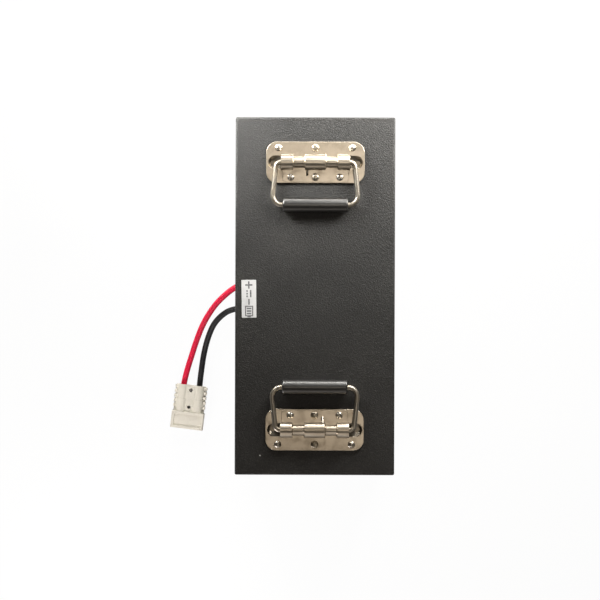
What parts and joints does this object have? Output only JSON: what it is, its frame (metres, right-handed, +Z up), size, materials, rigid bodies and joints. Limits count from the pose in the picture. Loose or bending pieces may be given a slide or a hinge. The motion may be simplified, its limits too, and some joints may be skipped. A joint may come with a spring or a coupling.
{
  "type": "battery box",
  "caption": "Sealed steel battery box with a cap lid, folding spring handles on top and a pair of short power leads that end in a flat two-pole plug.",
  "frame": {"origin": "middle of the base, on the surface that the box stands on", "axes": "+X across the box, away from the side with the leads; +Y along the box; +Z up through the lid"},
  "size_m": [0.2382, 0.363, 0.2672],
  "materials": {
    "case_paint": "fine-textured black powder coat",
    "gasket_rubber": "closed-cell sponge rubber",
    "black_screw": "blackened steel",
    "zinc_nut": "zinc plated",
    "label_film": "satin white film",
    "handle_steel": "bright nickel-plated sheet",
    "backing_steel": "nickel-plated sheet",
    "bail_steel": "bright nickel-plated rod",
    "grip_rubber": "matt black rubber sleeve",
    "spring_steel": "drawn spring wire",
    "rivet_steel": "nickel plated",
    "screw_steel": "zinc plated",
    "grommet_rubber": "matt black rubber",
    "red_sheath": "satin red cable sheath",
    "black_sheath": "satin black cable sheath",
    "plug_plastic": "beige-grey moulded plastic, fine grain",
    "contact_silver": "silver-plated copper",
    "leaf_steel": "stainless strip",
    "pad_foam": "dense grey foam",
    "tray_plastic": "pale insulating board",
    "copper_bar": "bare copper",
    "heat_aluminium": "plain aluminium",
    "circuit_board": "green lacquered circuit board",
    "ribbon_plastic": "grey flat cable",
    "cell_case": "aluminium can in blue film"
  },
  "bodies": {
    "box": {"case_tub": "case_paint", "lid": "case_paint", "lid_gasket": "gasket_rubber", "lid_screws": "black_screw", "lid_weld_nuts": "zinc_nut", "handle_nuts": "zinc_nut", "rating_label": "label_film", "rear_handle_plate": "handle_steel", "front_handle_plate": "handle_steel", "rear_backing_plate": "backing_steel", "front_backing_plate": "backing_steel", "rear_spring": "spring_steel", "front_spring": "spring_steel", "handle_rivets": "rivet_steel", "handle_screws": "screw_steel", "positive_grommet": "grommet_rubber", "negative_grommet": "grommet_rubber", "positive_cable": "red_sheath", "positive_lead": "red_sheath", "negative_cable": "black_sheath", "negative_lead": "black_sheath", "output_lead": "black_sheath", "plug_housing": "plug_plastic", "positive_contact": "contact_silver", "negative_contact": "contact_silver", "contact_springs": "leaf_steel", "floor_pad": "pad_foam", "foam_pads": "pad_foam", "layer_tray": "tray_plastic", "top_board": "tray_plastic", "busbars": "copper_bar", "layer_link": "copper_bar", "heat_plate": "heat_aluminium", "management_board": "circuit_board", "balance_ribbon": "ribbon_plastic", "cell_01": "cell_case", "cell_02": "cell_case", "cell_03": "cell_case", "cell_04": "cell_case", "cell_05": "cell_case", "cell_06": "cell_case", "cell_07": "cell_case", "cell_08": "cell_case", "cell_09": "cell_case", "cell_10": "cell_case", "cell_11": "cell_case", "cell_12": "cell_case", "cell_13": "cell_case", "cell_14": "cell_case", "cell_15": "cell_case", "cell_16": "cell_case", "cell_17": "cell_case", "cell_18": "cell_case", "cell_19": "cell_case", "cell_20": "cell_case"},
    "rear_handle": {"rear_bail": "bail_steel", "rear_grip": "grip_rubber"},
    "front_handle": {"front_bail": "bail_steel", "front_grip": "grip_rubber"}
  },
  "joints": [
    {"name": "rear_handle_hinge", "type": "hinge", "parent": "box", "child": "rear_handle", "pos_m": [0, 0.1355, 0.2596], "axis": [-1, 0, 0], "range_deg": [0, 95], "stiffness_Nm_per_rad": 0.12, "springref_deg": -28.65},
    {"name": "front_handle_hinge", "type": "hinge", "parent": "box", "child": "front_handle", "pos_m": [0, -0.1355, 0.2596], "axis": [1, 0, 0], "range_deg": [0, 95], "stiffness_Nm_per_rad": 0.12, "springref_deg": -28.65}
  ]
}
